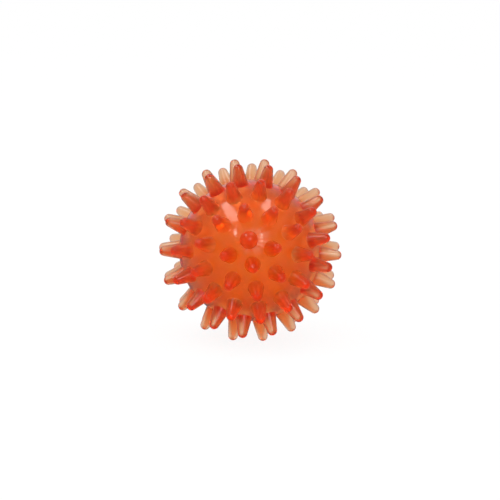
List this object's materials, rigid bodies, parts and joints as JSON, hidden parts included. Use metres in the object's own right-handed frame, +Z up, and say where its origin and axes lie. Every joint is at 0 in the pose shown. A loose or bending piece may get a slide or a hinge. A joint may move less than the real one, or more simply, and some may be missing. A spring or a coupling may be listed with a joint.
{
  "type": "spiky massage ball",
  "caption": "Hollow soft plastic ball with round-tipped spikes all over, moulded as two half shells joined at a seam, with a small air plug in the place of one spike.",
  "frame": {"origin": "centre of the ball", "axes": "+Z up as the ball stands on the tips of four spikes beside the seam; the moulding axis lies along Y, with the pole of the front half at -Y and the seam in the XZ plane"},
  "size_m": [0.069, 0.07, 0.068],
  "materials": {
    "soft_plastic": "glossy translucent orange soft PVC",
    "plug_plastic": "glossy translucent orange soft PVC, polished dome"
  },
  "bodies": {
    "ball": {"front_half_shell": "soft_plastic", "rear_half_shell": "soft_plastic"},
    "plug": {"air_plug": "plug_plastic"}
  },
  "joints": [
    {"name": "air_plug_pull", "type": "slide", "parent": "ball", "child": "plug", "axis": [-0.0544, -0.9397, 0.3377], "range_m": [0, 0.009]}
  ]
}
